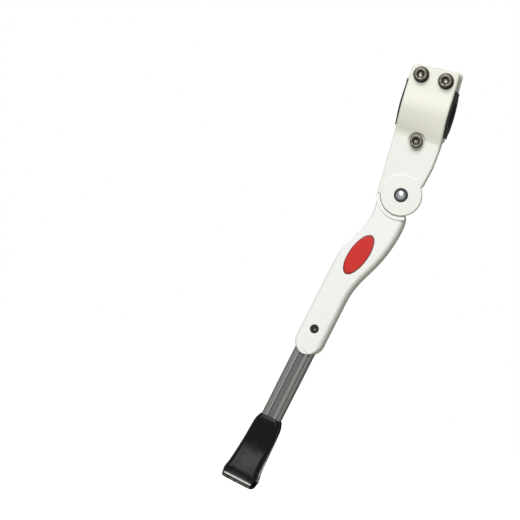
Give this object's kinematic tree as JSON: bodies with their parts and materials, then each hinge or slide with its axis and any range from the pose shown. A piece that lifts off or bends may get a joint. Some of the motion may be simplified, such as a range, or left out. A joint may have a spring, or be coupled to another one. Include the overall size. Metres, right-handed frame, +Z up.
{
  "type": "bicycle kickstand",
  "caption": "Clamp-on bicycle side stand: a bolted two-part clamp with rubber pads carries a folding curved arm, a telescoping flat leg and a flared foot.",
  "frame": {"origin": "on the axis of the bicycle stay that the clamp grips, at the middle of the clamp's width", "axes": "+X along the stay, towards the side the leg folds to; -Y towards the side that is seen, away from the wheel; +Z up, away from the foot"},
  "size_m": [0.0904, 0.0388, 0.3403],
  "materials": {
    "white_paint": "glossy powder coat on cast aluminium",
    "pad_rubber": "matt, finely ribbed",
    "bolt_steel": "dark nickel-plated steel",
    "rivet_steel": "polished steel",
    "bearing_metal": "plain bearing metal",
    "spring_steel": "oiled steel",
    "red_gloss": "glossy domed inlay",
    "brushed_leg": "brushed extrusion",
    "black_gloss": "glossy moulding"
  },
  "bodies": {
    "bracket": {"clamp_bracket": "white_paint", "rear_clamp_jaw": "white_paint", "front_clamp_pad": "pad_rubber", "rear_clamp_pad": "pad_rubber", "upper_clamp_bolts": "bolt_steel", "lower_clamp_bolt": "bolt_steel", "clamp_bolt_washers": "bolt_steel", "clamp_nuts": "bolt_steel", "pivot_rivet": "rivet_steel", "pivot_wear_washer": "bearing_metal", "rivet_rear_washer": "rivet_steel"},
    "swing_arm": {"arm": "white_paint", "pivot_bush": "bearing_metal", "oval_inlay": "red_gloss", "leg_lock_screw": "bolt_steel", "latch_spring": "spring_steel"},
    "sliding_leg": {"leg": "brushed_leg", "foot": "black_gloss"},
    "plunger": {"latch_plunger": "spring_steel"}
  },
  "joints": [
    {"name": "leg_fold", "type": "hinge", "parent": "bracket", "child": "swing_arm", "pos_m": [0, 0, -0.067], "axis": [0, -1, 0], "range_deg": [0, 100]},
    {"name": "leg_extension", "type": "slide", "parent": "swing_arm", "child": "sliding_leg", "axis": [-0.1874, 0, -0.9823], "range_m": [-0.022, 0.022]},
    {"name": "latch_slide", "type": "slide", "parent": "swing_arm", "child": "plunger", "axis": [0.2924, 0, 0.9563], "range_m": [0, 0.0009], "stiffness_N_per_m": 600, "springref_m": 0.012, "deforming": ["latch_spring"]}
  ]
}
